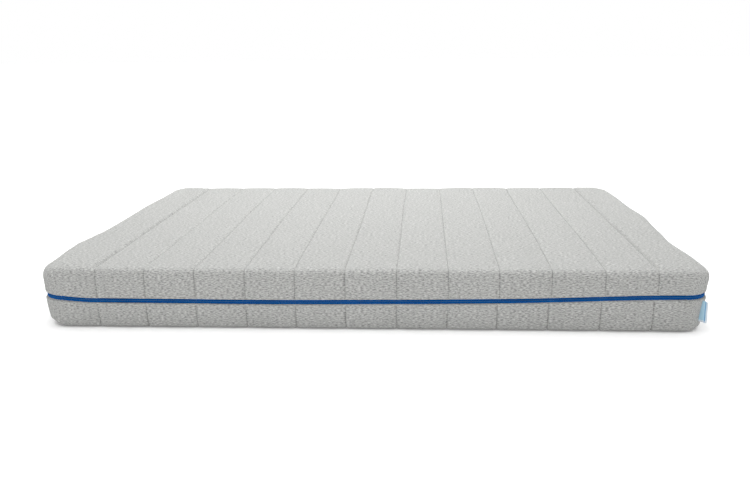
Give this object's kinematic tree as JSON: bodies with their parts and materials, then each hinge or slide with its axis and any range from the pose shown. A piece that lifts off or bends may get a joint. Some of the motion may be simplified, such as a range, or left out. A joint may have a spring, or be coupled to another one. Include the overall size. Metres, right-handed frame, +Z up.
{
  "type": "memory foam mattress",
  "caption": "Flat rectangular foam mattress in a quilted grey knit cover, parted all round by a zip with slider and pull, with a folded side label; layered foam core inside.",
  "frame": {"origin": "centre of the underside, where the mattress rests on its base", "axes": "+X along the long side, +Y across towards the side with the zip slider, +Z up through the lying face"},
  "size_m": [2, 1.4, 0.19],
  "materials": {
    "cover_fabric": "matte",
    "wadding": "matte",
    "backing": "matte",
    "thread": "satin",
    "zip_tape": "matte",
    "zip_teeth": "satin",
    "zip_metal": "gloss",
    "zip_plastic": "satin",
    "label": "satin",
    "memory_foam": "matte",
    "transition_foam": "matte",
    "support_foam": "matte",
    "glue": "satin"
  },
  "bodies": {
    "lower_cover": {"lower_cover_fabric": "cover_fabric", "lower_cover_wadding": "wadding", "lower_cover_backing": "backing", "lower_quilting_threads": "thread", "lower_corner_seams": "thread", "lower_zip_seam_thread": "thread", "lower_zip_tape": "zip_tape", "lower_zip_coil": "zip_teeth", "lower_zip_stop": "zip_metal", "zip_box": "zip_plastic", "side_label": "label"},
    "foam_core": {"support_foam": "support_foam", "lower_glue_film": "glue", "transition_foam": "transition_foam", "upper_glue_film": "glue", "memory_foam": "memory_foam"},
    "upper_cover": {"upper_cover_fabric": "cover_fabric", "upper_cover_wadding": "wadding", "upper_cover_backing": "backing", "upper_quilting_threads": "thread", "upper_corner_seams": "thread", "upper_zip_seam_thread": "thread", "upper_zip_tape": "zip_tape", "upper_zip_coil": "zip_teeth", "upper_zip_stop": "zip_metal", "zip_pin": "zip_plastic"},
    "zip_slider": {"zip_slider_body": "zip_metal"},
    "zip_pull": {"zip_pull_tab": "zip_metal"}
  },
  "joints": [
    {"name": "core_lift", "type": "slide", "parent": "lower_cover", "child": "foam_core", "axis": [0, 0, 1], "range_m": [0, 0.2]},
    {"name": "cover_lift", "type": "slide", "parent": "foam_core", "child": "upper_cover", "axis": [0, 0, 1], "range_m": [0, 0.2]},
    {"name": "zip_slide", "type": "slide", "parent": "lower_cover", "child": "zip_slider", "axis": [-1, 0, 0], "range_m": [0, 1.7], "deforming": ["lower_zip_coil", "upper_zip_coil"]},
    {"name": "pull_swing", "type": "hinge", "parent": "zip_slider", "child": "zip_pull", "pos_m": [0.841, 0.6972, 0.092], "axis": [0, 0, -1], "range_deg": [0, 180]}
  ]
}
